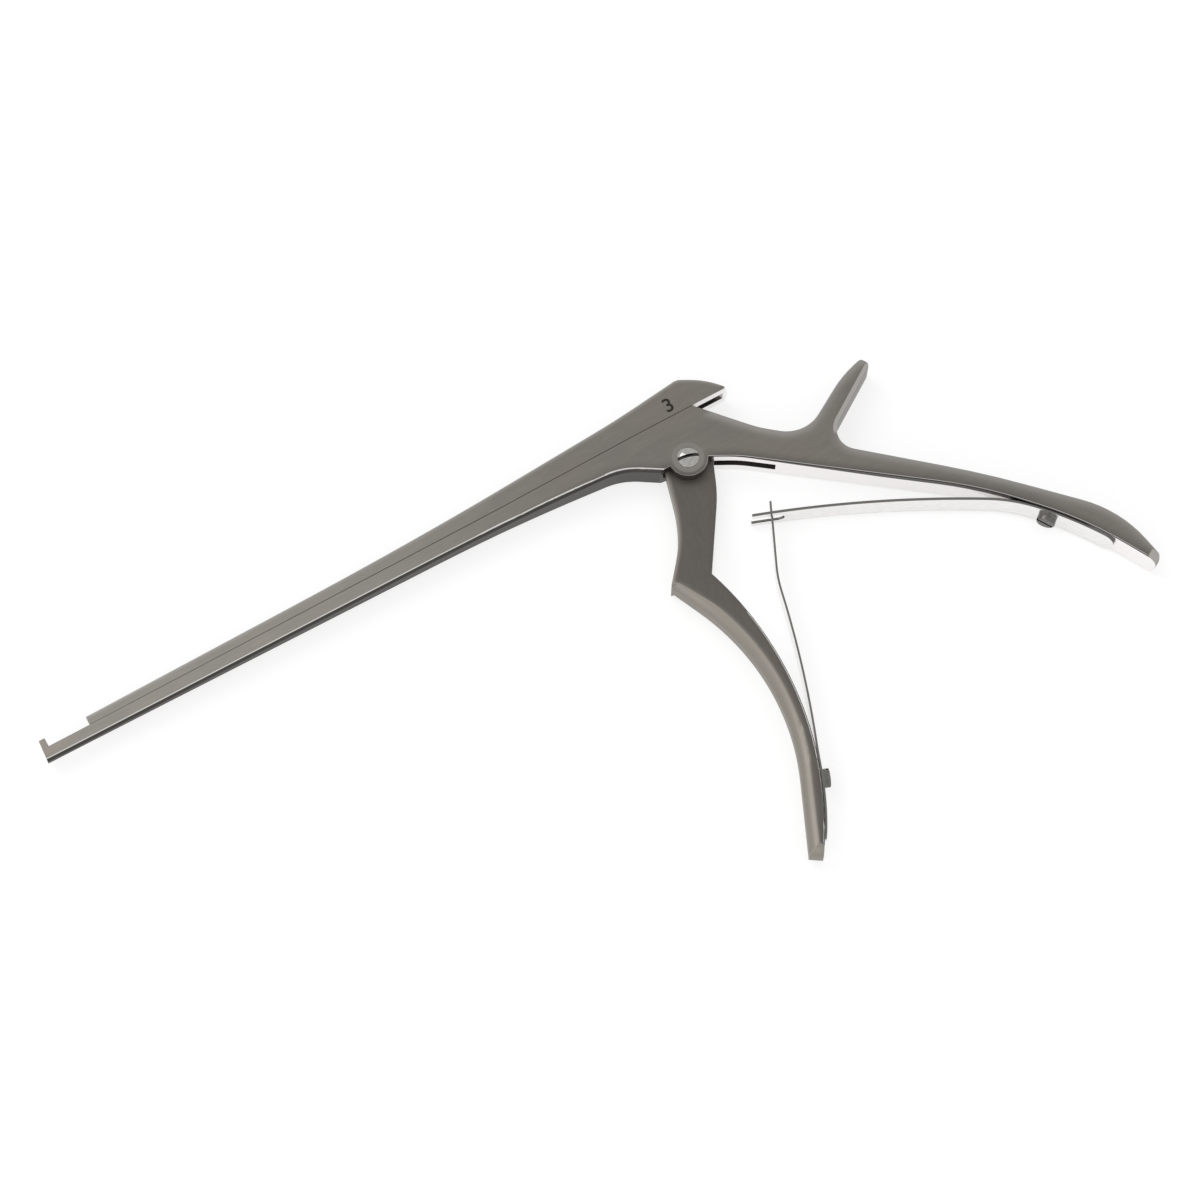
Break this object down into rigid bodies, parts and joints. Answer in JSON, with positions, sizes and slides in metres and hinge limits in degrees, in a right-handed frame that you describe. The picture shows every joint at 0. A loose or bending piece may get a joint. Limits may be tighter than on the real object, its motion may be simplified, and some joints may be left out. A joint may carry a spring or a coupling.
{
  "type": "bone rongeur",
  "caption": "Sliding-shaft bone punch with an upward-biting foot plate, pistol handles, leaf springs and a finger spur.",
  "frame": {"origin": "axis of the pivot screw, on the flank that the instrument lies on", "axes": "+X along the shaft away from the jaw, +Y from the pivot towards the slider, +Z along the pivot screw towards its head"},
  "size_m": [0.3007, 0.1432, 0.0107],
  "materials": {
    "satin_steel": "satin ground stainless steel",
    "polished_steel": "polished stainless steel",
    "spring_steel": "smooth rolled spring steel"
  },
  "bodies": {
    "frame": {"frame_and_rear_handle": "satin_steel", "pivot_screw": "polished_steel", "rear_spring_screw": "polished_steel"},
    "slider": {"slider_bar": "satin_steel", "drive_pin": "satin_steel"},
    "lever": {"front_handle": "satin_steel", "front_spring_screw": "polished_steel"},
    "rear_spring": {"rear_leaf_spring": "spring_steel"},
    "front_spring": {"front_leaf_spring": "spring_steel"}
  },
  "joints": [
    {"name": "lever_pivot", "type": "hinge", "parent": "frame", "child": "lever", "pos_m": [0, 0, 0.0047], "axis": [0, 0, 1], "range_deg": [0, 42], "stiffness_Nm_per_rad": 1.2, "springref_deg": -14.32},
    {"name": "slider_travel", "type": "slide", "parent": "frame", "child": "slider", "axis": [-1, 0, 0], "range_m": [0, 0.0126]},
    {"name": "rear_spring_flex", "type": "hinge", "parent": "frame", "child": "rear_spring", "pos_m": [0.07849, -0.06179, 0.0047], "axis": [0, 0, 1], "range_deg": [-10.5, 0], "deforming": ["rear_leaf_spring"]},
    {"name": "front_spring_flex", "type": "hinge", "parent": "lever", "child": "front_spring", "pos_m": [-0.01423, -0.097, 0.0047], "axis": [0, 0, 1], "range_deg": [0, 6.3], "deforming": ["front_leaf_spring"]}
  ],
  "couplings": [
    {"joint": "slider_travel", "follows": "lever_pivot", "m_per_rad": 0.017188},
    {"joint": "rear_spring_flex", "follows": "lever_pivot", "ratio": -0.25},
    {"joint": "front_spring_flex", "follows": "lever_pivot", "ratio": 0.15}
  ]
}
